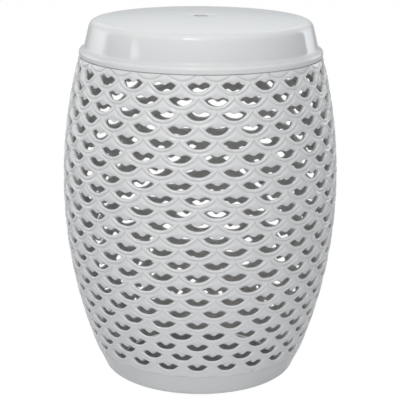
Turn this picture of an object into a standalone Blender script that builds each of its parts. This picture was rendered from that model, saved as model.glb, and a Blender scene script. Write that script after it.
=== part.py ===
"""Glazed ceramic drum stool: a domed seat cap, a barrel wall pierced in a fish-scale pattern and pressed in
four panels, a foot ring, and four felt pads under the foot.

Metres, +Z up. The origin is on the floor, under the middle of the seat, and the front faces -Y."""

import math

import bmesh
import bpy

# Fit: the clear line left at every luted joint and under the foot.
JOINT_GAP = 0.0003

# Floor pads
PAD_COUNT = 4
PAD_RADIUS = 0.0055
PAD_HEIGHT = 0.0020
PAD_SIDES = 12

# Foot ring
FOOT_HEIGHT = 0.0294
FOOT_INSET = 0.0202        # the foot's outer edge lies this far inside the wall's lower edge
FOOT_FLAT = 0.0135         # width of the flat that the stool stands on
FOOT_ROUND_WIDTH = 0.0130
FOOT_ROUND_HEIGHT = 0.0160
FOOT_LIP = 0.0060          # upright inner edge above the flat

# Barrel wall: two arcs that meet upright at the belly.
WALL_HEIGHT = 0.3762
WALL_THICKNESS = 0.0070
BELLY_RADIUS = 0.1736
BELLY_HEIGHT = 0.2125      # from the wall's lower edge
ARC_ABOVE_BELLY = 0.623
ARC_BELOW_BELLY = 0.603
RIM_SETBACK = 0.0020       # the wall's top edge draws in under the bead

# Fish-scale piercing
PANELS = 4
COLUMNS = 24
ROWS = 23
BOTTOM_MARGIN = 0.0147     # along the wall, from its lower edge to the lowest row
TOP_MARGIN = 0.0133
ROW_SPREAD = 0.0020        # the rows of the shoulder share this much more than even spacing gives them
SHOULDER_LENGTH = 0.1250   # along the wall, down from its top edge
HOLE_WIDTH = 0.0337        # from tip to tip, at the belly; each row narrows with its ring
HOLE_DROP = 0.0061         # from the tips down to the middle of the lower edge
LOBE_SPREAD = 0.0166       # between the two lobes of the upper edge, at the belly
LOBE_RISE = 0.0044         # above the tips
NOTCH_RISE = 0.0005        # the end of the scale above dips between the lobes to this far above the tips
CUT_SLOPE = math.radians(10)   # the knife points this far below level

# Seat cap
CAP_HEIGHT = 0.0485
CAP_THICKNESS = 0.0090
SEAT_CROWN = 0.0045        # rise of the seat from its rim to the middle
SEAT_ROLL = 0.0095         # radius of the rolled rim
SKIRT_TAPER = 0.0085       # the skirt leans in by this much up to the rim
BEAD_OVERHANG = 0.0015     # past the wall's top edge
BEAD_DEPTH = 0.0052        # past the foot of the skirt
BEAD_HEIGHT = 0.0085
BEAD_FLARE = 0.0028        # height of the sweep from the skirt into the bead
VENT_RADIUS = 0.0100

# Facets and pattern layout
TURNED_SIDES = 32
ROLL_STEPS = 3
BEAD_STEPS = 4
FOOT_STEPS = 4
BEAD_CUT = math.radians(60)
SMOOTH_ANGLE = math.radians(35)

# Levels of the stack, from the floor up
FOOT_LEVEL = PAD_HEIGHT + JOINT_GAP
WALL_LEVEL = FOOT_LEVEL + FOOT_HEIGHT + JOINT_GAP
BELLY_LEVEL = WALL_LEVEL + BELLY_HEIGHT
WALL_TOP = WALL_LEVEL + WALL_HEIGHT
CAP_LEVEL = WALL_TOP + JOINT_GAP

COLUMN_ANGLE = 2 * math.pi / COLUMNS
PANEL_ANGLE = 2 * math.pi / PANELS
PANEL_COLUMNS = COLUMNS // PANELS
FIRST_PANEL_TURN = -COLUMN_ANGLE   # puts a hole of the top and bottom rows at the front


def clear_scene():
    for item in list(bpy.data.objects):
        bpy.data.objects.remove(item, do_unlink=True)


def material(name, colour, roughness):
    made = bpy.data.materials.new(name)
    made.use_nodes = True
    shader = made.node_tree.nodes["Principled BSDF"]
    shader.inputs["Base Color"].default_value = (*colour, 1.0)
    shader.inputs["Roughness"].default_value = roughness
    shader.inputs["Metallic"].default_value = 0.0
    made.diffuse_color = (*colour, 1.0)
    return made


def closed_mesh(name, bm):
    """The bmesh as a mesh with its faces pointing out and its round surfaces shaded smooth."""
    bmesh.ops.recalc_face_normals(bm, faces=bm.faces[:])
    mesh = bpy.data.meshes.new(name)
    bm.to_mesh(mesh)
    bm.free()
    mesh.shade_smooth()
    mesh.set_sharp_from_angle(angle=SMOOTH_ANGLE)
    return mesh


def place(name, mesh, finish, turn=0.0):
    """An object on the stool's axis, turned about it."""
    item = bpy.data.objects.new(name, mesh)
    if not mesh.materials:
        mesh.materials.append(finish)
    item.rotation_euler.z = turn
    bpy.context.scene.collection.objects.link(item)
    return item


def turned(name, profile):
    """A closed profile of (radius, height) points spun once round the stool's axis."""
    bm = bmesh.new()
    ring = [bm.verts.new((0.0, -radius, height)) for radius, height in profile]
    edges = [bm.edges.new((a, b)) for a, b in zip(ring, ring[1:] + ring[:1])]
    bmesh.ops.spin(
        bm,
        geom=ring + edges,
        cent=(0, 0, 0),
        axis=(0, 0, 1),
        angle=2 * math.pi,
        steps=TURNED_SIDES,
        use_merge=True,
    )
    return closed_mesh(name, bm)


def ellipse(centre, width, height, start, end, steps):
    """Points on an ellipse of these half sizes, from one angle to another, 0 pointing outwards."""
    points = []
    for step in range(steps + 1):
        angle = start + (end - start) * step / steps
        points.append((centre[0] + width * math.cos(angle), centre[1] + height * math.sin(angle)))
    return points


# Barrel wall

def arc_of(along):
    return ARC_ABOVE_BELLY if along > 0 else ARC_BELOW_BELLY


def wall_radius(along, depth):
    arc = arc_of(along)
    return BELLY_RADIUS - arc + (arc - depth) * math.cos(along / arc)


def wall_height(along, depth):
    arc = arc_of(along)
    return BELLY_LEVEL + (arc - depth) * math.sin(along / arc)


def along_at(height, depth):
    """How far along the wall, from the belly, a surface at this depth meets a level."""
    rise = height - BELLY_LEVEL
    arc = arc_of(rise)
    return arc * math.asin(rise / (arc - depth))


def row_places(depth):
    """The rows' places along the wall: evenly spaced between its margins, and spread a little at the shoulder.
    A knife that points below level brings each row out lower on a surface at this depth."""
    top = along_at(WALL_TOP, 0)
    lowest = along_at(WALL_LEVEL, 0) + BOTTOM_MARGIN + ROW_SPREAD
    highest = top - TOP_MARGIN
    places = []
    for row in range(ROWS):
        even = lowest + (highest - lowest) * row / (ROWS - 1)
        part = min((top - even) / SHOULDER_LENGTH, 1)
        along = even - ROW_SPREAD * part * part * (3 - 2 * part)
        places.append(along - depth * math.tan(CUT_SLOPE - along / arc_of(along)))
    return places


def hole_half(outside):
    """Right half of a hole as (angle, rise) from its row, from the lower edge up to the upper edge: a crescent
    with a tip and a lobe on the outside, and a plain opening as wide and high inside."""
    tip = HOLE_WIDTH / 2 / BELLY_RADIUS
    lobe = LOBE_SPREAD / 2 / BELLY_RADIUS
    if outside:
        return [(0.0, -HOLE_DROP), (tip, 0.0), (lobe, LOBE_RISE), (0.0, NOTCH_RISE)]
    return [(0.0, -HOLE_DROP), (lobe, -HOLE_DROP), (tip, LOBE_RISE), (0.0, LOBE_RISE)]


def whole_hole(angle, along, outside):
    """A hole's outline. Outside it has a point in the middle of its lower and of its upper edge."""
    half = hole_half(outside)
    right = half[1:3]
    left = [(-turn, rise) for turn, rise in reversed(right)]
    bottom, notch = (half[:1], half[3:]) if outside else ([], [])
    return [(angle + turn, along + rise) for turn, rise in bottom + right + notch + left]


def seam_angle(along, depth):
    """Half the panel's spread, less half the joint line."""
    return PANEL_ANGLE / 2 - JOINT_GAP / 2 / wall_radius(along, depth)


def seam_edge(side, depth):
    """One upright edge of a panel, from bottom to top, with the half holes that the seam runs through."""
    points = []
    for along in row_places(depth)[::2]:
        for turn, rise in hole_half(depth == 0):
            angle = seam_angle(along + rise, depth) if turn == 0.0 else PANEL_ANGLE / 2 - turn
            points.append((side * angle, along + rise))
    return points


def rim_edge(height, depth):
    """One level edge of a panel, from left to right."""
    along = along_at(height, depth)
    half = seam_angle(along, depth)
    count = 2 * PANEL_COLUMNS
    inner = [(step - PANEL_COLUMNS) * COLUMN_ANGLE / 2 for step in range(1, count)]
    return [(angle, along) for angle in [-half, *inner, half]]


def sheet_loops(depth):
    """A panel's outline, then its whole holes, as (angle, along) points on the surface at this depth."""
    outline = rim_edge(WALL_LEVEL, depth)
    outline += seam_edge(1, depth)
    outline += reversed(rim_edge(WALL_TOP, depth))
    outline += reversed(seam_edge(-1, depth))
    loops = [outline]
    for row, along in enumerate(row_places(depth)):
        count = PANEL_COLUMNS - 1 + row % 2
        for column in range(count):
            angle = (column - (count - 1) / 2) * COLUMN_ANGLE
            loops.append(whole_hole(angle, along, depth == 0))
    return loops


def filled(loops):
    """Triangles that fill the first loop round the others, laid out flat, as indices into all their points."""
    bm = bmesh.new()
    for loop in loops:
        ring = [bm.verts.new((angle * BELLY_RADIUS, along, 0.0)) for angle, along in loop]
        for a, b in zip(ring, ring[1:] + ring[:1]):
            bm.edges.new((a, b))
    bm.verts.index_update()
    bmesh.ops.triangle_fill(bm, use_beauty=True, edges=bm.edges[:], normal=(0, 0, 1))
    faces = [tuple(vert.index for vert in face.verts) for face in bm.faces]
    bm.free()
    return faces


def rolled(loops, depth):
    """The loops' points on the barrel, with the outer top edge drawn in under the bead."""
    top = along_at(WALL_TOP, depth)
    points = []
    for angle, along in [point for loop in loops for point in loop]:
        radius = wall_radius(along, depth)
        if depth == 0 and along == top:
            radius -= RIM_SETBACK
        points.append((radius * math.sin(angle), -radius * math.cos(angle), wall_height(along, depth)))
    return points


def indexed(loops, start):
    """Each loop's points as indices, counted from a start."""
    found = []
    for loop in loops:
        found.append(list(range(start, start + len(loop))))
        start += len(loop)
    return found


def outline_faces(outer, inner, points):
    """Faces through the wall between the outlines of the two sheets, each four points cut the shorter way."""
    faces = []
    for i in range(len(outer)):
        before, after = outer[i - 1], outer[i]
        back_before, back_after = inner[i - 1], inner[i]
        if math.dist(points[before], points[back_after]) < math.dist(points[after], points[back_before]):
            faces += [(before, after, back_after), (before, back_after, back_before)]
        else:
            faces += [(before, after, back_before), (after, back_after, back_before)]
    return faces


def hole_faces(outer, inner):
    """Faces through the wall from a crescent to the plain opening inside."""
    bottom, right_tip, right_lobe, notch, left_lobe, left_tip = outer
    right_low, right_top, left_top, left_low = inner
    return [
        (bottom, right_low, left_low),
        (bottom, right_tip, right_low),
        (right_tip, right_top, right_low),
        (right_tip, right_lobe, right_top),
        (right_lobe, notch, right_top),
        (notch, left_top, right_top),
        (notch, left_lobe, left_top),
        (left_lobe, left_tip, left_top),
        (left_tip, left_low, left_top),
        (left_tip, bottom, left_low),
    ]


def wall_panel_mesh():
    """A quarter of the wall: an outer and an inner pierced sheet, joined through every hole and edge."""
    outer_loops = sheet_loops(0)
    inner_loops = sheet_loops(WALL_THICKNESS)
    points = rolled(outer_loops, 0)
    first_inner = len(points)
    points += rolled(inner_loops, WALL_THICKNESS)
    faces = filled(outer_loops)
    faces += [tuple(first_inner + i for i in face) for face in filled(inner_loops)]
    outer_outline, *outer_holes = indexed(outer_loops, 0)
    inner_outline, *inner_holes = indexed(inner_loops, first_inner)
    faces += outline_faces(outer_outline, inner_outline, points)
    for outer, inner in zip(outer_holes, inner_holes):
        faces += hole_faces(outer, inner)
    bm = bmesh.new()
    verts = [bm.verts.new(point) for point in points]
    for face in faces:
        bm.faces.new([verts[i] for i in face])
    return closed_mesh("wall_panel", bm)


# Turned pieces

def foot_ring_mesh():
    """A ring under the wall that rounds in to a flat, with an upright inner lip."""
    seat = along_at(WALL_LEVEL, 0)
    top = FOOT_LEVEL + FOOT_HEIGHT
    outside = wall_radius(seat, 0)
    inside = wall_radius(along_at(WALL_LEVEL, WALL_THICKNESS), WALL_THICKNESS)
    flat_outside = outside - FOOT_INSET
    flat_inside = flat_outside - FOOT_FLAT
    centre = (flat_outside, FOOT_LEVEL + FOOT_ROUND_HEIGHT)
    rounding = ellipse(centre, FOOT_ROUND_WIDTH, FOOT_ROUND_HEIGHT, 0, -math.pi / 2, FOOT_STEPS)
    lip = [(flat_inside, FOOT_LEVEL), (flat_inside, FOOT_LEVEL + FOOT_LIP)]
    return turned("foot_ring", [(outside, top), *rounding, *lip, (inside, top)])


def pad_circle():
    """Radius of the circle that the pads stand on, along the middle of the foot's flat."""
    return wall_radius(along_at(WALL_LEVEL, 0), 0) - FOOT_INSET - FOOT_FLAT / 2


def pad_mesh():
    bm = bmesh.new()
    bmesh.ops.create_cone(
        bm,
        cap_ends=True,
        segments=PAD_SIDES,
        radius1=PAD_RADIUS,
        radius2=PAD_RADIUS,
        depth=PAD_HEIGHT,
    )
    bmesh.ops.translate(bm, verts=bm.verts[:], vec=(0, -pad_circle(), PAD_HEIGHT / 2))
    return closed_mesh("floor_pad", bm)


def seat_cap_mesh():
    """A shallow lid: crowned seat with a vent, rolled rim, leaning skirt, and a bead that sits on the wall."""
    rim = wall_radius(along_at(WALL_TOP, 0), 0) - RIM_SETBACK
    skirt_foot = rim + BEAD_OVERHANG - BEAD_DEPTH
    skirt_top = skirt_foot - SKIRT_TAPER
    seat_edge = skirt_top - SEAT_ROLL
    edge_level = CAP_LEVEL + CAP_HEIGHT - SEAT_CROWN

    def crown(radius):
        return edge_level + SEAT_CROWN * (1 - (radius / seat_edge) ** 2)

    bead_half = BEAD_HEIGHT / (1 + math.sin(BEAD_CUT))
    bead_centre = (skirt_foot, CAP_LEVEL + BEAD_HEIGHT - bead_half)
    flare_level = CAP_LEVEL + BEAD_HEIGHT + BEAD_FLARE
    roll_centre = (seat_edge, edge_level - SEAT_ROLL)
    lean = math.atan2(SKIRT_TAPER, roll_centre[1] - flare_level)
    mid_seat = (VENT_RADIUS + seat_edge) / 2
    roll = ellipse(roll_centre, SEAT_ROLL, SEAT_ROLL, math.pi / 2, lean, ROLL_STEPS)
    bead = ellipse(bead_centre, BEAD_DEPTH, bead_half, BEAD_CUT, -BEAD_CUT, BEAD_STEPS)
    outside = [(VENT_RADIUS, crown(VENT_RADIUS)), (mid_seat, crown(mid_seat)), *roll]
    outside += [(skirt_foot, flare_level), *bead]
    inside = [
        (skirt_foot - CAP_THICKNESS, CAP_LEVEL),
        (skirt_top - CAP_THICKNESS, roll_centre[1]),
        (seat_edge - CAP_THICKNESS, edge_level - CAP_THICKNESS),
        (VENT_RADIUS, crown(VENT_RADIUS) - CAP_THICKNESS),
    ]
    return turned("seat_cap", outside + inside)


def build():
    clear_scene()
    glaze = material("white_glaze", (0.80, 0.82, 0.83), 0.12)
    felt = material("grey_felt", (0.20, 0.20, 0.20), 0.95)
    pad = pad_mesh()
    for number in range(PAD_COUNT):
        turn = 2 * math.pi * (number + 0.5) / PAD_COUNT
        place(f"floor_pad_{number + 1}", pad, felt, turn)
    place("foot_ring", foot_ring_mesh(), glaze)
    panel = wall_panel_mesh()
    for number in range(PANELS):
        place(f"wall_panel_{number + 1}", panel, glaze, FIRST_PANEL_TURN + number * PANEL_ANGLE)
    place("seat_cap", seat_cap_mesh(), glaze)


build()
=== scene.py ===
"""Drum stool in white glazed ceramic: felt pads, foot ring, pierced fish-scale wall and crowned seat cap.

Metres, +Z up. The front faces -Y, and turns are counted from the front towards +X."""

import math

import bpy
import numpy as np
from mathutils import Euler, Matrix, Vector


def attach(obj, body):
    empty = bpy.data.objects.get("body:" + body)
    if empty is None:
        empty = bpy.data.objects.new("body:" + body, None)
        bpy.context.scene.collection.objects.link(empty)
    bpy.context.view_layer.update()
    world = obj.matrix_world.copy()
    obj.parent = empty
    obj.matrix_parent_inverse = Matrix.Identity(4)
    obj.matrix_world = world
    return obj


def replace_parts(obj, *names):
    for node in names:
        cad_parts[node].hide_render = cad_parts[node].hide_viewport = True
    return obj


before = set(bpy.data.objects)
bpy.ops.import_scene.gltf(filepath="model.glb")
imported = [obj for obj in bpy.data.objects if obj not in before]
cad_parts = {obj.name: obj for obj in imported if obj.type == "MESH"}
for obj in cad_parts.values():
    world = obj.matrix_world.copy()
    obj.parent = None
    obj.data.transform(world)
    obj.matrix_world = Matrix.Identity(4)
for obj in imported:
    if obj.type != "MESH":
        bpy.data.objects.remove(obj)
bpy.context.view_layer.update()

# Floor pads
# Four discs of pressed grey wool felt, punched from sheet, which leaves the edge a little crushed.
# They are stuck under the foot and keep the hard foot off the floor.

MM = 0.001
WELD = 1e-7
PAD_CIRCLE = 107.95 * MM
PAD_SIDES = 48
PAD_STEPS = 5
PAD_CORNERS = np.array([(0, 2.0), (5.5, 2.0), (5.5, 0.0), (0, 0.0)]) * MM
PAD_CUTS = np.array([0.0, 0.5, 0.7, 0.0]) * MM


def grid_faces(rows, columns, rows_close, columns_close):
    """Quads between neighbouring points of a grid, counted row by row. A side that closes joins its last
    points to its first."""
    row = np.arange(rows if rows_close else rows - 1)
    column = np.arange(columns if columns_close else columns - 1)
    row, column = np.meshgrid(row, column, indexing="ij")
    next_row = (row + 1) % rows
    next_column = (column + 1) % columns
    corners = [
        row * columns + column,
        row * columns + next_column,
        next_row * columns + next_column,
        next_row * columns + column,
    ]
    return np.stack(corners, axis=-1).reshape(-1, 4)


def facing_out(points, faces):
    """The faces as they are if the volume they close is positive, and turned round if it isn't."""
    a, b, c, d = (points[faces[:, corner]] for corner in range(4))
    volume = np.sum(a * (np.cross(b, c) + np.cross(c, d)))
    return faces if volume > 0 else faces[:, ::-1]


def make_piece(name, points, faces, finish, slot, flat=None, **measures):
    """A piece from closed grids of points. Points in one place become one, a quad that lost a corner becomes
    a triangle, and a face that two cells share, inside the clay, is dropped from both."""
    keys = np.round(points / WELD).astype(np.int64)
    _, first, place = np.unique(keys, axis=0, return_index=True, return_inverse=True)
    points = points[first]
    faces = facing_out(points, place.reshape(-1)[faces])
    flat = np.zeros(len(faces), bool) if flat is None else flat
    _, kind, count = np.unique(np.sort(faces, axis=1), axis=0, return_inverse=True, return_counts=True)
    lost = faces == np.roll(faces, -1, axis=1)
    crossed = (faces[:, 0] == faces[:, 2]) | (faces[:, 1] == faces[:, 3])
    kept = (count[kind.reshape(-1)] == 1) & ~crossed
    quads = kept & (lost.sum(axis=1) == 0)
    triangles = kept & (lost.sum(axis=1) == 1)
    three = faces[triangles][~lost[triangles]].reshape(-1, 3)
    corners = np.concatenate([faces[quads].ravel(), three.ravel()])
    four_count = int(quads.sum())
    starts = np.concatenate([np.arange(four_count) * 4, four_count * 4 + np.arange(len(three)) * 3])
    mesh = bpy.data.meshes.new(name)
    mesh.vertices.add(len(points))
    mesh.vertices.foreach_set("co", points.ravel())
    mesh.loops.add(len(corners))
    mesh.loops.foreach_set("vertex_index", corners)
    mesh.polygons.add(len(starts))
    mesh.polygons.foreach_set("loop_start", starts)
    mesh.polygons.foreach_set("use_smooth", ~np.concatenate([flat[quads], flat[triangles]]))
    mesh.update(calc_edges=True)
    for measure, values in measures.items():
        mesh.attributes.new(measure, "FLOAT", "POINT").data.foreach_set("value", values[first])
    mesh.materials.append(finish)
    piece = bpy.data.objects.new(name, mesh)
    bpy.context.scene.collection.objects.link(piece)
    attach(piece, "root")
    return piece


def rounded_outline(corners, cuts, steps):
    """Straight runs between corners (radius, height), each corner cut back by its length along both runs and
    rounded there by a quadratic curve that leaves along one run and arrives along the other."""
    corners = np.asarray(corners, float)
    cuts = np.asarray(cuts, float)[:, None]
    before = np.roll(corners, 1, axis=0) - corners
    after = np.roll(corners, -1, axis=0) - corners
    start = corners + before / np.linalg.norm(before, axis=1, keepdims=True) * cuts
    end = corners + after / np.linalg.norm(after, axis=1, keepdims=True) * cuts
    part = np.linspace(0, 1, steps + 1)[None, :, None]
    leaving = (1 - part) ** 2 * start[:, None]
    arriving = part ** 2 * end[:, None]
    curve = leaving + 2 * part * (1 - part) * corners[:, None] + arriving
    return curve.reshape(-1, 2)


def turned(outline, sides, centre=(0.0, 0.0)):
    """The outline (radius, height) carried once round an upright line through the centre, in even steps."""
    turn = np.linspace(0, 2 * np.pi, sides, endpoint=False)
    radius = outline[:, :1]
    x = centre[0] + radius * np.sin(turn)
    y = centre[1] - radius * np.cos(turn)
    z = np.broadcast_to(outline[:, 1:], x.shape)
    return np.stack([x, y, z], axis=-1).reshape(-1, 3), grid_faces(len(outline), sides, True, True)


def new_finish(name):
    """An empty node material: its node tree, its shader and the material itself."""
    finish = bpy.data.materials.new(name)
    finish.use_nodes = True
    tree = finish.node_tree
    return tree, tree.nodes["Principled BSDF"], finish


def add_node(tree, kind, inputs=None, **settings):
    """A node with its settings, and with values or links on the inputs that are named or numbered."""
    node = tree.nodes.new(kind)
    for setting, value in settings.items():
        setattr(node, setting, value)
    for socket, value in (inputs or {}).items():
        if isinstance(value, bpy.types.NodeSocket):
            tree.links.new(value, node.inputs[socket])
        else:
            node.inputs[socket].default_value = value
    return node


def noise_of(tree, where, size, detail=2.0):
    """Noise with patches of about this size in metres."""
    inputs = {"Vector": where, "Scale": 1 / size, "Detail": detail}
    return add_node(tree, "ShaderNodeTexNoise", inputs).outputs["Fac"]


def math_of(tree, operation, *values, clamp=False):
    """One sum on values or links."""
    inputs = dict(enumerate(values))
    return add_node(tree, "ShaderNodeMath", inputs, operation=operation, use_clamp=clamp).outputs[0]


def span_of(tree, value, low, high, to_low=0.0, to_high=1.0):
    """A value's range low to high stretched onto another range, and held at its ends."""
    inputs = {"Value": value, "From Min": low, "From Max": high, "To Min": to_low, "To Max": to_high}
    return add_node(tree, "ShaderNodeMapRange", inputs).outputs[0]


def mixed(tree, part, first, second):
    """A colour between two, by a link from 0 to 1."""
    node = add_node(tree, "ShaderNodeMix", {"Factor": part}, data_type="RGBA")
    for socket, value in ((node.inputs[6], first), (node.inputs[7], second)):
        if isinstance(value, bpy.types.NodeSocket):
            tree.links.new(value, socket)
        else:
            socket.default_value = (*value, 1.0)
    return node.outputs[2]


def bumped(tree, shader, height):
    """The height, in millimetres, as a bump on the shader."""
    bump = add_node(tree, "ShaderNodeBump", {"Height": height, "Distance": MM, "Strength": 1.0})
    tree.links.new(bump.outputs["Normal"], shader.inputs["Normal"])


tree, shader, felt = new_finish("grey_felt")
where = add_node(tree, "ShaderNodeTexCoord").outputs["Object"]
fibre = noise_of(tree, where, 0.45 * MM, 6.0)
tuft = noise_of(tree, where, 2.6 * MM, 3.0)
grey = mixed(tree, span_of(tree, fibre, 0.35, 0.65), (0.115, 0.115, 0.118), (0.235, 0.232, 0.228))
grey = mixed(tree, span_of(tree, tuft, 0.40, 0.70, 0.0, 0.5), grey, (0.165, 0.160, 0.155))
tree.links.new(grey, shader.inputs["Base Color"])
tree.links.new(span_of(tree, fibre, 0.3, 0.7, 0.88, 0.98), shader.inputs["Roughness"])
shader.inputs["Sheen Weight"].default_value = 0.35
shader.inputs["Sheen Roughness"].default_value = 0.6
bumped(tree, shader, math_of(tree, "MULTIPLY", fibre, 0.25))

pad_outline = rounded_outline(PAD_CORNERS, PAD_CUTS, PAD_STEPS)
for number in range(4):
    turn = math.radians(45 + 90 * number)
    centre = (PAD_CIRCLE * math.sin(turn), -PAD_CIRCLE * math.cos(turn))
    points, faces = turned(pad_outline, PAD_SIDES, centre)
    pad = make_piece(f"felt_pad_{number + 1}", points, faces, felt, "grey_felt")
    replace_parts(pad, f"floor_pad_{number + 1}")

# Foot ring
# A plain band of the same clay, thrown as a ring and luted under the wall with slip.
# It is glazed like the wall, but its standing flat is wiped bare so that it doesn't stick in the kiln.

WALL_LEVEL = 32.0 * MM
WALL_TOP = 408.2 * MM
FOOT_SIDES = 192
FOOT_STEPS = 12
FOOT_CORNERS = np.array([
    (134.9, 32.0), (126.6, 15.0), (121.2, 2.3), (101.2, 2.3), (101.2, 8.3), (127.4, 32.0),
]) * MM
FOOT_CUTS = np.array([0.9, 6.5, 7.0, 1.2, 2.0, 0.4]) * MM
FLAT_LEVEL = 3.4 * MM
FLAT_FADE = 0.8 * MM
WITHIN_RADIUS = 109 * MM
WITHIN_FADE = 4 * MM
CREASE_DEPTH = 1.0 * MM
GLAZE_WHITE = (0.824, 0.823, 0.819)
GLAZE_COOL = (0.808, 0.810, 0.810)
# Greyer glaze: real pooled glaze along the seam. In the grooves, creases and above the cuts it is partly
# pooled glaze and partly painted shade.
GLAZE_POOLED_AND_SHADE = (0.655, 0.658, 0.660)
CLAY_PALE = (0.740, 0.730, 0.712)
CLAY_DARK = (0.655, 0.645, 0.628)
SPECK = (0.42, 0.40, 0.37)
SEAM_TURN = math.radians(32)
SEAM_LEVEL = 400 * MM

tree, shader, glaze = new_finish("white_glaze")
where = add_node(tree, "ShaderNodeTexCoord").outputs["Object"]
pooling = add_node(tree, "ShaderNodeAttribute", attribute_name="pooling").outputs["Fac"]
bare = add_node(tree, "ShaderNodeAttribute", attribute_name="bare").outputs["Fac"]
cloud = noise_of(tree, where, 70 * MM)
ripple = noise_of(tree, where, 16 * MM, 1.0)
peel = noise_of(tree, where, 2.2 * MM, 1.0)
grain = noise_of(tree, where, 0.7 * MM, 4.0)
spots = add_node(tree, "ShaderNodeTexVoronoi", {"Vector": where, "Scale": 1 / (13 * MM)})
spot_size = span_of(tree, spots.outputs["Color"], 0.70, 1.0, 0.0, 0.030)
spot = math_of(tree, "LESS_THAN", spots.outputs["Distance"], spot_size)
apart = add_node(tree, "ShaderNodeSeparateXYZ", {0: where}).outputs
part_x = math_of(tree, "MULTIPLY", apart["X"], math.cos(SEAM_TURN))
turned_x = math_of(tree, "MULTIPLY_ADD", apart["Y"], math.sin(SEAM_TURN), part_x)
part_y = math_of(tree, "MULTIPLY", apart["Y"], math.cos(SEAM_TURN))
turned_y = math_of(tree, "MULTIPLY_ADD", apart["X"], -math.sin(SEAM_TURN), part_y)
beside = math_of(tree, "MINIMUM", math_of(tree, "ABSOLUTE", turned_x), math_of(tree, "ABSOLUTE", turned_y))
seam = span_of(tree, beside, 0.2 * MM, 0.7 * MM, 1, 0)
seam = math_of(tree, "MULTIPLY", seam, span_of(tree, apart["Z"], SEAM_LEVEL, SEAM_LEVEL + 2 * MM))
seam = math_of(tree, "MULTIPLY", seam, span_of(tree, apart["Z"], WALL_TOP + 0.3 * MM, WALL_TOP))
white = mixed(tree, span_of(tree, cloud, 0.35, 0.65), GLAZE_WHITE, GLAZE_COOL)
# Painted shade, partly pooled glaze: the glaze greys in grooves, creases and above the cuts, where shade
# falls.
white = mixed(tree, math_of(tree, "MULTIPLY", pooling, 0.55), white, GLAZE_POOLED_AND_SHADE)
white = mixed(tree, math_of(tree, "MULTIPLY", seam, 0.8), white, GLAZE_POOLED_AND_SHADE)
white = mixed(tree, math_of(tree, "MULTIPLY", spot, 0.45), white, SPECK)
clay = mixed(tree, span_of(tree, grain, 0.35, 0.65), CLAY_PALE, CLAY_DARK)
tree.links.new(mixed(tree, bare, white, clay), shader.inputs["Base Color"])
gloss = span_of(tree, cloud, 0.3, 0.7, 0.05, 0.09)
matt = math_of(tree, "MULTIPLY", bare, 0.72)
tree.links.new(math_of(tree, "MAXIMUM", gloss, matt), shader.inputs["Roughness"])
waves = math_of(tree, "MULTIPLY_ADD", ripple, 0.06, math_of(tree, "MULTIPLY", peel, 0.012))
grit = math_of(tree, "MULTIPLY", math_of(tree, "MULTIPLY", grain, bare), 0.06)
uneven = math_of(tree, "MULTIPLY_ADD", seam, -0.25, math_of(tree, "ADD", waves, grit))
bumped(tree, shader, uneven)

foot_outline = rounded_outline(FOOT_CORNERS, FOOT_CUTS, FOOT_STEPS)
points, faces = turned(foot_outline, FOOT_SIDES)
radius = np.hypot(points[:, 0], points[:, 1])
on_flat = np.clip((FLAT_LEVEL - points[:, 2]) / FLAT_FADE, 0, 1)
within = np.clip((WITHIN_RADIUS - radius) / WITHIN_FADE, 0, 1)
wiped = np.maximum(on_flat, within)
# Painted shade, partly pooled glaze: the glaze greys over the top millimetre of the foot, in the crease
# where it meets the wall.
crease = np.clip(1 - (WALL_LEVEL - points[:, 2]) / CREASE_DEPTH, 0, 1)
foot = make_piece("foot", points, faces, glaze, "white_glaze", pooling=crease, bare=wiped)
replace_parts(foot, "foot_ring")

# Wall panels
# Four quarters of the barrel, pressed from clay in plaster moulds that give the overlapping scales their
# rolled rims. They are luted edge to edge, and a crescent is cut by hand through the hollow of every scale.

PANELS = 4
PANEL_COLUMNS = 6
ROWS = 23
WALL_THICKNESS = 7.0 * MM
BELLY_RADIUS = 173.6 * MM
BELLY_LEVEL = 244.5 * MM
ARC_ABOVE = 623.0 * MM
ARC_BELOW = 603.0 * MM
RIM_SETBACK = 0.6 * MM
BOTTOM_MARGIN = 16.7 * MM
TOP_MARGIN = 13.3 * MM
ROW_SINK = 2.0 * MM
SINK_REACH = 125.0 * MM
SOFT_RELIEF = 0.2
SOFT_REACH = 40 * MM
CRISP_REACH = 170 * MM
DRAWN_IN = 4 * MM
LEVEL_REACH = 14 * MM
CUT_SLOPE = math.radians(4)
LOW_CUT_SLOPE = math.radians(10)
SCALE_DROP = 9.6 * MM
RIM_RISE = 12.2 * MM
FIELD_HEIGHT = 1.6 * MM
RIM_FLANK = 1.9 * MM
FIELD_FLANK = 4.2 * MM
LIP_FALL = 1.2 * MM
LIP_REACH = 1.9 * MM
TONGUE_FALL = 2.0 * MM
HOLE_LIFT = 4.4 * MM
HOLE_HALF = 15.1 * MM
HOLE_TIP = 6.1 * MM
HOLE_POWER = 2.6
HOLE_MIDDLE = 4.5 * MM
LOBE_STEP = 2 / 3
LOBE_RISE = 9.0 * MM
NOTCH_RISE = 6.7 * MM
NOTCH_DROP = 1.5 * MM
NOTCH_VARY = 0.45 * MM
WIDTH_VARY = 0.028
SLANT_VARY = 0.022
PLACE_VARY = 0.22 * MM
BURR_FALL = 0.35 * MM
BURR_REACH = 0.5 * MM
POOL_AND_SHADE_HEIGHT = 0.7 * MM
INNER_WIDER = 1.12
INNER_TALLER = 1.6
SEED = 40
EDGE_STEPS = 7
RIM_PLACES = np.array([0.0, 0.5, 1.0, 1.5, 2.1]) * MM
FIELD_STEPS = 4
BAND_STEPS = 9
LIP_PLACES = np.array([2.0, 1.5, 1.0, 0.5, 0.2, 0.0]) * MM
HALF_PITCH = np.pi * BELLY_RADIUS / (PANELS * PANEL_COLUMNS)


def along_at(level, depth):
    """Length along the wall, up from the belly, at which a surface this deep meets a level."""
    rise = level - BELLY_LEVEL
    arc = ARC_ABOVE if rise > 0 else ARC_BELOW
    return arc * math.asin(rise / (arc - depth))


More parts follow.
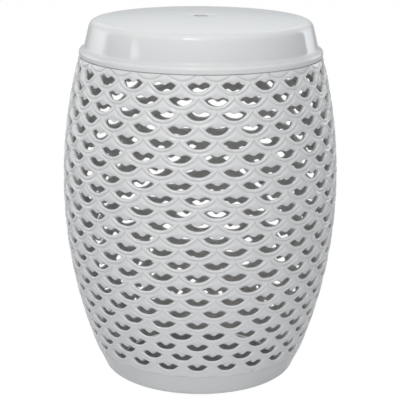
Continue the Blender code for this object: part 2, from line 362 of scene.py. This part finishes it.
def on_barrel(across, along, depth):
    """Points on the barrel from length round the belly, length up from the belly, and depth into the clay.
    Two arcs meet upright at the belly: radius = belly - arc + (arc - depth) cos(along / arc), and height
    above the belly = (arc - depth) sin(along / arc)."""
    arc = np.where(along > 0, ARC_ABOVE, ARC_BELOW)
    radius = BELLY_RADIUS - arc + (arc - depth) * np.cos(along / arc)
    height = BELLY_LEVEL + (arc - depth) * np.sin(along / arc)
    turn = across / BELLY_RADIUS
    return np.stack([radius * np.sin(turn), -radius * np.cos(turn), height], axis=-1)


def eased(value, start, end):
    """0 before start, 1 after end, and a smooth cubic between."""
    part = np.clip((value - start) / (end - start), 0, 1)
    return part * part * (3 - 2 * part)


def ridge(distance, middle, half_width):
    """1 on the middle line, falling as a squared cosine to 0 at half a width to each side."""
    part = np.clip((distance - middle) / half_width, -1, 1)
    return np.cos(part * np.pi / 2) ** 2


LOW_EDGE = along_at(WALL_LEVEL, 0)
HIGH_EDGE = along_at(WALL_TOP, 0)
LOW_BACK = along_at(WALL_LEVEL, WALL_THICKNESS) - LOW_EDGE
HIGH_BACK = along_at(WALL_TOP, WALL_THICKNESS) - HIGH_EDGE
ROW_PITCH = (HIGH_EDGE - TOP_MARGIN - LOW_EDGE - BOTTOM_MARGIN) / (ROWS - 1)
SCALE_ARC = (HALF_PITCH ** 2 + RIM_RISE ** 2) / (2 * RIM_RISE)
SCALE_SPREAD = math.asin(HALF_PITCH / SCALE_ARC)


def scale_relief(x, y):
    """Height of a scale above the groove round it, at x from its middle line and y above its lowest point:
    full inside, with a rolled edge along its own rim and a longer slope below the rims of the two scales
    above. Both slopes shorten towards the cusps, so that the clay runs on from scale to scale above each."""
    side = np.clip(np.abs(x) / HALF_PITCH, 0, 1)
    inside = SCALE_ARC - np.hypot(x, y - SCALE_ARC)
    clear = np.hypot(np.abs(x) - HALF_PITCH, y - ROW_PITCH - SCALE_ARC) - SCALE_ARC
    rolled = eased(inside, 0, RIM_FLANK * (1 - 0.5 * side ** 6))
    return FIELD_HEIGHT * rolled * eased(clear, 0, FIELD_FLANK * (1 - 0.6 * side ** 4))


def scale_edge():
    """Outline of what shows of a scale, anticlockwise from its left cusp: along its own lower arc to the
    right cusp, straight up to the scale above on the right, along that one's rim to the top cusp, and down
    the left."""
    lower = np.linspace(-1, 1, 2 * EDGE_STEPS + 1)[:-1] * SCALE_SPREAD
    right = np.linspace(0, -1, EDGE_STEPS + 1)[:-1] * SCALE_SPREAD
    left = np.linspace(1, 0, EDGE_STEPS + 1) * SCALE_SPREAD
    turn = np.concatenate([lower, [SCALE_SPREAD, 0], right, left, [0]])
    counts = [2 * EDGE_STEPS + 1, EDGE_STEPS + 1, EDGE_STEPS + 2]
    x = np.repeat([0, HALF_PITCH, -HALF_PITCH], counts) + SCALE_ARC * np.sin(turn)
    y = np.repeat([0, ROW_PITCH, ROW_PITCH], counts) + SCALE_ARC * (1 - np.cos(turn))
    y[[2 * EDGE_STEPS + 1, -1]] = (RIM_RISE + ROW_PITCH) / 2
    return x, y


def hole_edge(half_width, notch, slant, stretch):
    """Outline of a cut crescent, with as many points as a scale's edge and starting at its left tip. The
    lower edge is a shallow bow, flat in the middle. The upper edge rises to two lobes and dips between them
    round the end of the tongue. The stretch makes it taller."""
    lower = np.sin(np.linspace(-1, 1, 2 * EDGE_STEPS + 1)[:-1] * np.pi / 2)
    upper = np.cos(np.linspace(0, 2, 2 * EDGE_STEPS + 5)[:-1] * np.pi / 2)
    x = half_width * np.concatenate([lower, upper])
    low = HOLE_TIP * np.abs(x / half_width) ** HOLE_POWER
    lobe = half_width * math.cos(LOBE_STEP * np.pi / 2)
    span = np.clip((half_width - np.abs(x)) / (half_width - lobe), 0, 1)
    shoulder = HOLE_TIP + (LOBE_RISE - HOLE_TIP) * np.sin(span * np.pi / 2)
    dip = (LOBE_RISE - notch) * ridge(x, 0, lobe)
    on_top = np.arange(x.shape[-1]) >= 2 * EDGE_STEPS
    rise = np.where(on_top, shoulder - dip, low)
    return x, HOLE_LIFT + HOLE_MIDDLE + stretch * (rise - HOLE_MIDDLE) + slant * x


def crispness(along):
    """How much of the moulded relief is left: it is soft towards the foot."""
    return SOFT_RELIEF + (1 - SOFT_RELIEF) * eased(along, LOW_EDGE + SOFT_REACH, LOW_EDGE + CRISP_REACH)


def outer_depth(along, relief):
    """Depth of the outer surface below the barrel. The top edge draws in, plain, under the bead."""
    crisp = crispness(along) * eased(HIGH_EDGE - along, 0, 3.5 * MM)
    return crisp * (FIELD_HEIGHT - relief) + RIM_SETBACK * eased(along, HIGH_EDGE - DRAWN_IN, HIGH_EDGE)


def settled(place):
    """Length along the wall of a place in the even pattern, which is spread a little over the top rows."""
    return place - ROW_SINK * eased(HIGH_EDGE - place, 0, SINK_REACH)


def inner_along(along):
    """The inner surface's own length along the wall. A knife held a little downwards carries each cut's
    inner end lower than its outer one, and the two edges of the wall end level."""
    slope = LOW_CUT_SLOPE + (CUT_SLOPE - LOW_CUT_SLOPE) * eased(along, LOW_EDGE, 0)
    lean = along / np.where(along > 0, ARC_ABOVE, ARC_BELOW)
    near_low = 1 - eased(along, LOW_EDGE, LOW_EDGE + LEVEL_REACH)
    near_high = eased(along, HIGH_EDGE - LEVEL_REACH, HIGH_EDGE)
    carried = -WALL_THICKNESS * np.tan(slope - lean) * (1 - near_low) * (1 - near_high)
    return along + carried + LOW_BACK * near_low + HIGH_BACK * near_high


def pierced_scales(middle, base, draw):
    """Grids of pierced scales, closed both ways: from a scale's edge over its relief to the cut, through the
    clay, which a sponge has opened towards the inside, and back along the inner surface. Every cut is a
    little different, as a knife leaves it."""
    vary = np.clip(draw.normal(size=(4, len(middle), 1)), -1.6, 1.6)
    edge_x, edge_y = scale_edge()
    edge_y = np.minimum(edge_y, HIGH_EDGE - base[:, None])
    edge_x = np.broadcast_to(edge_x, edge_y.shape)
    below_top = HIGH_EDGE - base[:, None]
    half_width = HOLE_HALF * (1 + WIDTH_VARY * vary[0])
    notch = NOTCH_RISE + NOTCH_VARY * vary[1] - NOTCH_DROP * eased(below_top, 80 * MM, 260 * MM)
    stretch = 1.24 - 0.14 * eased(below_top, 24 * MM, 38 * MM) - 0.10 * eased(below_top, 90 * MM, 130 * MM)
    hole_x, hole_y = hole_edge(half_width, notch, SLANT_VARY * vary[2], stretch)
    hole_y = hole_y + PLACE_VARY * vary[3]
    length = np.hypot(edge_x - hole_x, edge_y - hole_y)
    fit = np.minimum(1, length / (4.2 * MM))
    rim = RIM_PLACES[:, None, None] * fit
    lip = LIP_PLACES[:, None, None] * fit
    field = np.linspace(0, 1, FIELD_STEPS + 1)[1:-1, None, None]
    runs = np.concatenate([rim, rim[-1] + (length - lip[0] - rim[-1]) * field, length - lip])
    part = np.moveaxis(runs / length, 0, 1)
    x = edge_x[:, None] + (hole_x - edge_x)[:, None] * part
    y = edge_y[:, None] + (hole_y - edge_y)[:, None] * part
    length = length[:, None]
    to_cut = length * (1 - part)
    sweep = np.abs(np.linspace(-1, 1, 2 * EDGE_STEPS + 1)[:-1])
    low = np.concatenate([eased(1 - sweep, 0, 0.25), np.zeros(2 * EDGE_STEPS + 4)])
    relief = scale_relief(x, y)
    base = base[:, None, None]
    front_along = settled(base + y)
    depth = outer_depth(front_along, relief)
    depth += LIP_FALL * low * np.clip(1 - to_cut / (LIP_REACH * fit[:, None]), 0, 1) ** 2
    depth += TONGUE_FALL * (1 - low) * np.clip(1 - to_cut / (0.7 * length), 0, 1) ** 2
    depth += BURR_FALL * np.clip(1 - to_cut / BURR_REACH, 0, 1) ** 2
    middle_y = HOLE_LIFT + HOLE_MIDDLE
    back_x = np.stack([hole_x, hole_x * INNER_WIDER, edge_x], axis=1)
    back_y = np.stack([hole_y, middle_y + (hole_y - middle_y) * INNER_TALLER, edge_y], axis=1)
    back_part = np.array([0.45, 1.0, 1.0])[:, None]
    back_along = settled(base + back_y)
    back_along = back_along + back_part * (inner_along(back_along) - back_along)
    back_depth = WALL_THICKNESS * back_part + 0 * back_x
    back_bare = np.array([0.0, 0.5, 1.0])[:, None] + 0 * back_x
    across = middle[:, None, None] + np.concatenate([x, back_x], axis=1)
    along = np.concatenate([front_along, back_along], axis=1)
    points = on_barrel(across, along, np.concatenate([depth, back_depth], axis=1))
    # Painted shade: the glaze greys above each cut, where the tongue's end rounds down into shade. It also
    # greys in the grooves round the scales, partly as pooled glaze.
    shade_above_cut = 0.6 * (1 - low) * np.clip(1 - to_cut / (0.6 * length), 0, 1)
    pooling = np.maximum(shade_above_cut, 1 - eased(relief, 0, POOL_AND_SHADE_HEIGHT)) * crispness(front_along)
    pooling = np.concatenate([pooling, 0 * back_x], axis=1)
    bare = np.concatenate([0 * x, back_bare], axis=1)
    count, rows, columns = across.shape
    one = grid_faces(rows, columns, True, True)
    faces = np.arange(count)[:, None, None] * rows * columns + one
    flat = np.arange(len(one)) >= (rows - 2) * columns
    return points.reshape(-1, 3), faces.reshape(-1, 4), np.tile(flat, count), pooling.ravel(), bare.ravel()


def plain_bands(middle, edge_x, edge_along, level_edge, relief_of):
    """Grids of unpierced clay between the scales' edges and a level edge of the wall, closed all round: over
    the outer surface, through the level edge, back along the inner surface, and across both ends."""
    part = (np.linspace(0, 1, BAND_STEPS + 1) ** 1.5)[:, None]
    x = edge_x + 0 * part
    place = edge_along + (level_edge - edge_along) * part
    relief = relief_of(x, place)
    along = settled(place)
    flat_middle = middle[:, None, None]
    outer = on_barrel(flat_middle + x, along + 0 * flat_middle, outer_depth(along, relief))
    inner = on_barrel(flat_middle + x, inner_along(along) + 0 * flat_middle, WALL_THICKNESS)
    points = np.concatenate([outer, inner[:, ::-1]], axis=1)
    count, rows, columns = points.shape[:3]
    one = grid_faces(rows, columns, True, False)
    index = np.arange(rows * columns).reshape(rows, columns)
    over = index[:rows // 2]
    under = index[rows // 2:][::-1]
    ends = np.stack([over[:-1], over[1:], under[1:], under[:-1]], axis=-1)
    one = np.concatenate([one, ends[:, 0], ends[:, -1, ::-1]])
    flat = np.arange(len(one)) >= (rows // 2 - 1) * (columns - 1)
    faces = np.arange(count)[:, None, None] * rows * columns + one
    # Painted shade, partly pooled glaze: the glaze greys where the plain bands sink into the grooves below
    # the rims.
    pooling = (1 - eased(relief, 0, POOL_AND_SHADE_HEIGHT)) * crispness(along)
    pooling = np.tile(np.concatenate([pooling, 0 * x]).ravel(), count)
    bare = np.tile(np.concatenate([0 * x, 0 * x + 1]).ravel(), count)
    return points.reshape(-1, 3), faces.reshape(-1, 4), np.tile(flat, count), pooling, bare


def wall_panel(number):
    """One quarter of the wall: six scales in each of 23 rows, set half a scale over in every second row,
    with the tips of one more row above them and a plain band below."""
    draw = np.random.default_rng(SEED + number)
    turned_by = math.radians(90 * number - 15) * BELLY_RADIUS
    row, column = np.meshgrid(np.arange(ROWS), np.arange(PANEL_COLUMNS), indexing="ij")
    middle = turned_by + (column - 3 + (row % 2) / 2).ravel() * 2 * HALF_PITCH
    base = LOW_EDGE + BOTTOM_MARGIN - SCALE_DROP + ROW_PITCH * row.ravel()
    between = turned_by + (np.arange(PANEL_COLUMNS) - 2.5) * 2 * HALF_PITCH
    edge_x, edge_y = scale_edge()
    own_x = np.append(edge_x[:2 * EDGE_STEPS], HALF_PITCH)
    own_y = np.append(edge_y[:2 * EDGE_STEPS], RIM_RISE)
    above_x = edge_x[2 * EDGE_STEPS + 2:-1]
    above_y = edge_y[2 * EDGE_STEPS + 2:-1]
    tip_base = base[-1] + ROW_PITCH
    foot_base = base[0] - ROW_PITCH

    def tip_relief(x, along):
        """The relief of one more row of scales, whose tips show under the bead."""
        return scale_relief(x, along - tip_base)

    def band_relief(x, along):
        """Clay that rises from the lowest scales' rims to the level of a scale, and stays there."""
        return FIELD_HEIGHT * eased(along[:1] - along, 0, FIELD_FLANK)

    parts = [
        pierced_scales(middle, base, draw),
        plain_bands(between, own_x, np.minimum(tip_base + own_y, HIGH_EDGE), HIGH_EDGE, tip_relief),
        plain_bands(between, above_x, foot_base + above_y, LOW_EDGE + ROW_SINK, band_relief),
    ]
    counts = np.cumsum([0] + [len(part[0]) for part in parts])
    points, faces, flat, pooling, bare = zip(*parts)
    faces = np.concatenate([face + count for face, count in zip(faces, counts)])
    measures = {"pooling": np.concatenate(pooling), "bare": np.concatenate(bare)}
    name = f"scale_wall_{number + 1}"
    return make_piece(
        name, np.concatenate(points), faces, glaze, "white_glaze", np.concatenate(flat), **measures
    )


for number in range(PANELS):
    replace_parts(wall_panel(number), f"wall_panel_{number + 1}")

# Seat cap
# A moulded lid with a crowned seat, a rolled rim and a skirt that sweeps out into a half-round bead.
# It is luted on the wall's top edge, and a finger hole in the middle lets the kiln's heat and steam out.

CAP_SIDES = 224
CAP_STEPS = 10
SEAT_EDGE = 128.0 * MM
SEAT_CROWN = 4.5 * MM
CAP_CORNERS = np.array([
    (10.0, 452.5), (30.0, 452.5), (50.0, 452.5), (70.0, 452.5), (90.0, 452.5), (107.0, 452.5),
    (137.3, 452.5), (145.5, 418.6), (151.7, 415.9), (151.5, 408.3), (136.9, 408.3), (128.7, 443.5),
    (107.0, 443.5), (70.0, 443.5), (30.0, 443.5), (10.0, 443.5),
]) * MM
CAP_CUTS = np.array([1.6, 3, 3, 3, 3, 3, 9.5, 4.0, 3.0, 2.2, 0.8, 8, 3, 3, 3, 1.2]) * MM
CROWNED_LEVEL = 430 * MM
SWEEP_CORNER = 7
INNER_CORNER = 10

cap_outline = rounded_outline(CAP_CORNERS, CAP_CUTS, CAP_STEPS)
crown = SEAT_CROWN * np.clip(1 - (cap_outline[:, 0] / SEAT_EDGE) ** 2, 0, 1)
cap_outline[:, 1] += crown * (cap_outline[:, 1] > CROWNED_LEVEL)
points, faces = turned(cap_outline, CAP_SIDES)
corner = np.arange(len(cap_outline)) // (CAP_STEPS + 1)
inside = np.repeat((corner >= INNER_CORNER).astype(float), CAP_SIDES)
# Painted shade, partly pooled glaze: the glaze greys in the concave sweep from the skirt into the bead.
under_skirt = np.repeat((corner == SWEEP_CORNER).astype(float), CAP_SIDES)
cap = make_piece("cap", points, faces, glaze, "white_glaze", pooling=0.6 * under_skirt, bare=inside)
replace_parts(cap, "seat_cap")

# Studio
# A pale floor that the camera sees as white, and the soft light of a tent from the front, above, left and
# low right. Two windows and the tent's brighter sides show only in the glaze.
# The camera stands where the photograph was taken, a little above the seat.

CAMERA_AZIMUTH = math.radians(0.8)
CAMERA_DISTANCE = 1.600
CAMERA_HEIGHT = 0.6629
CAMERA_PITCH = math.radians(15.475)
CAMERA_ROLL = math.radians(0.40)
CAMERA_LENS = 116.3
NEUTRAL = (1.0, 1.0, 1.0)
WARM = (1.0, 0.996, 0.988)
COOL = (0.955, 0.980, 1.0)
FLOOR_HALF = 12.0
FLOOR_COLOUR = (0.52, 0.54, 0.575, 1.0)


def softbox(name, place, aim, width, height, power, colour, mirrored):
    """A rectangular area light at a place, turned to face the aim. A mirrored one is a window that shows
    only in the glaze. Any other is light from the whole tent, which the glaze doesn't mirror as a shape."""
    data = bpy.data.lights.new(name, "AREA")
    data.shape = "RECTANGLE"
    data.size = width
    data.size_y = height
    data.energy = power
    data.color = colour
    lamp = bpy.data.objects.new(name, data)
    lamp.visible_glossy = mirrored
    lamp.visible_diffuse = not mirrored
    lamp.location = place
    lamp.rotation_euler = (Vector(aim) - Vector(place)).to_track_quat("-Z", "Y").to_euler()
    bpy.context.scene.collection.objects.link(lamp)


softbox("front_light", (-0.1, -2.6, 0.80), (0, 0, 0.30), 1.5, 0.8, 26.4, WARM, False)
softbox("top_light", (0.1, -0.1, 2.5), (0, 0, 0.30), 3.0, 3.0, 32, COOL, False)
softbox("left_light", (-1.50, -0.80, 2.2), (0, 0, 0.30), 1.4, 1.4, 9.4, NEUTRAL, False)
softbox("low_right", (1.7, -1.5, 0.35), (0, 0, 0.15), 1.0, 0.5, 1.4, NEUTRAL, False)
softbox("front_window", (-0.33, -1.58, 2.50), (0, 0, 0.45), 0.50, 0.90, 9.0, NEUTRAL, True)
softbox("side_window", (-2.1839, -0.9953, 0.95), (0, 0, 0.43), 0.42, 0.28, 0.95, NEUTRAL, True)

world = bpy.data.worlds.new("studio")
bpy.context.scene.world = world
world.use_nodes = True
tree = world.node_tree
seen = add_node(tree, "ShaderNodeLightPath").outputs
direct = math_of(tree, "ADD", seen["Is Camera Ray"], seen["Is Transmission Ray"], clamp=True)
heading = add_node(tree, "ShaderNodeTexCoord").outputs["Generated"]
heading = add_node(tree, "ShaderNodeSeparateXYZ", {0: heading}).outputs
backdrop = span_of(tree, heading["Z"], 0.05, 0.42, 0.55, 0.75)
bearing = math_of(tree, "ARCTAN2", heading["X"], math_of(tree, "MULTIPLY", heading["Y"], -1))
left_side = math_of(
    tree, "MULTIPLY", span_of(tree, bearing, math.radians(-104), math.radians(-114)),
    span_of(tree, bearing, math.radians(-112), math.radians(-150), 3.0, 0.0),
)
right_side = math_of(
    tree, "MULTIPLY", span_of(tree, bearing, math.radians(125), math.radians(129)),
    span_of(tree, bearing, math.radians(128), math.radians(155), 3.0, 0.0),
)
sides = math_of(tree, "ADD", left_side, right_side)
sides = math_of(tree, "MULTIPLY", sides, span_of(tree, heading["Z"], 0.60, 0.15))
backdrop = math_of(tree, "ADD", backdrop, sides)
behind = span_of(tree, heading["Y"], 0.75, 0.90, 0.0, span_of(tree, heading["Z"], 0.07, 0.40, 0.09, 0.57))
backdrop = math_of(tree, "ADD", backdrop, behind)
ambient = span_of(tree, heading["X"], -1, 1, 0.205, 0.16)
sky = tree.nodes["Background"]
tint = add_node(tree, "ShaderNodeCombineXYZ", {
    0: span_of(tree, seen["Is Glossy Ray"], 0, 1, 1.0, 0.940),
    1: span_of(tree, seen["Is Glossy Ray"], 0, 1, 1.0, 0.975),
    2: 1.0,
})
tree.links.new(tint.outputs[0], sky.inputs["Color"])
strength = span_of(tree, seen["Is Glossy Ray"], 0, 1, span_of(tree, direct, 0, 1, ambient, 1.0), backdrop)
tree.links.new(strength, sky.inputs["Strength"])

floor_mesh = bpy.data.meshes.new("floor")
corners = [(-1, -1, 0), (1, -1, 0), (1, 1, 0), (-1, 1, 0)]
floor_mesh.from_pydata(np.array(corners) * FLOOR_HALF, [], [(0, 1, 2, 3)])
floor = bpy.data.objects.new("floor", floor_mesh)
bpy.context.scene.collection.objects.link(floor)
tree, shader, floor_finish = new_finish("pale_floor")
shader.inputs["Base Color"].default_value = FLOOR_COLOUR
shader.inputs["Roughness"].default_value = 0.9
seen = add_node(tree, "ShaderNodeLightPath").outputs
mirrored = math_of(tree, "MULTIPLY", seen["Is Glossy Ray"], 0.55)
direct = math_of(tree, "ADD", seen["Is Camera Ray"], mirrored)
direct = math_of(tree, "ADD", direct, seen["Is Transmission Ray"], clamp=True)
where = add_node(tree, "ShaderNodeTexCoord").outputs["Object"]
away = add_node(tree, "ShaderNodeVectorMath", {0: where}, operation="LENGTH").outputs["Value"]
direct = math_of(tree, "MULTIPLY", direct, span_of(tree, away, 0.100, 0.115))
glow = add_node(tree, "ShaderNodeEmission", {"Color": (1.0, 1.0, 1.0, 1.0), "Strength": 1.04})
blend = add_node(tree, "ShaderNodeMixShader", {
    0: math_of(tree, "MULTIPLY", direct, 0.95), 1: shader.outputs[0], 2: glow.outputs[0],
})
tree.links.new(blend.outputs[0], tree.nodes["Material Output"].inputs["Surface"])
floor_mesh.materials.append(floor_finish)

lens = bpy.data.cameras.new("camera")
lens.lens = CAMERA_LENS
lens.sensor_width = 36.0
lens.clip_end = 60.0
camera = bpy.data.objects.new("camera", lens)
camera.location = (
    CAMERA_DISTANCE * math.sin(CAMERA_AZIMUTH),
    -CAMERA_DISTANCE * math.cos(CAMERA_AZIMUTH),
    CAMERA_HEIGHT,
)
tilt = Euler((math.pi / 2 - CAMERA_PITCH, 0, CAMERA_AZIMUTH)).to_matrix()
camera.rotation_euler = (tilt @ Matrix.Rotation(CAMERA_ROLL, 3, "Z")).to_euler()
bpy.context.scene.collection.objects.link(camera)
bpy.context.scene.camera = camera
bpy.context.scene.view_settings.view_transform = "Standard"
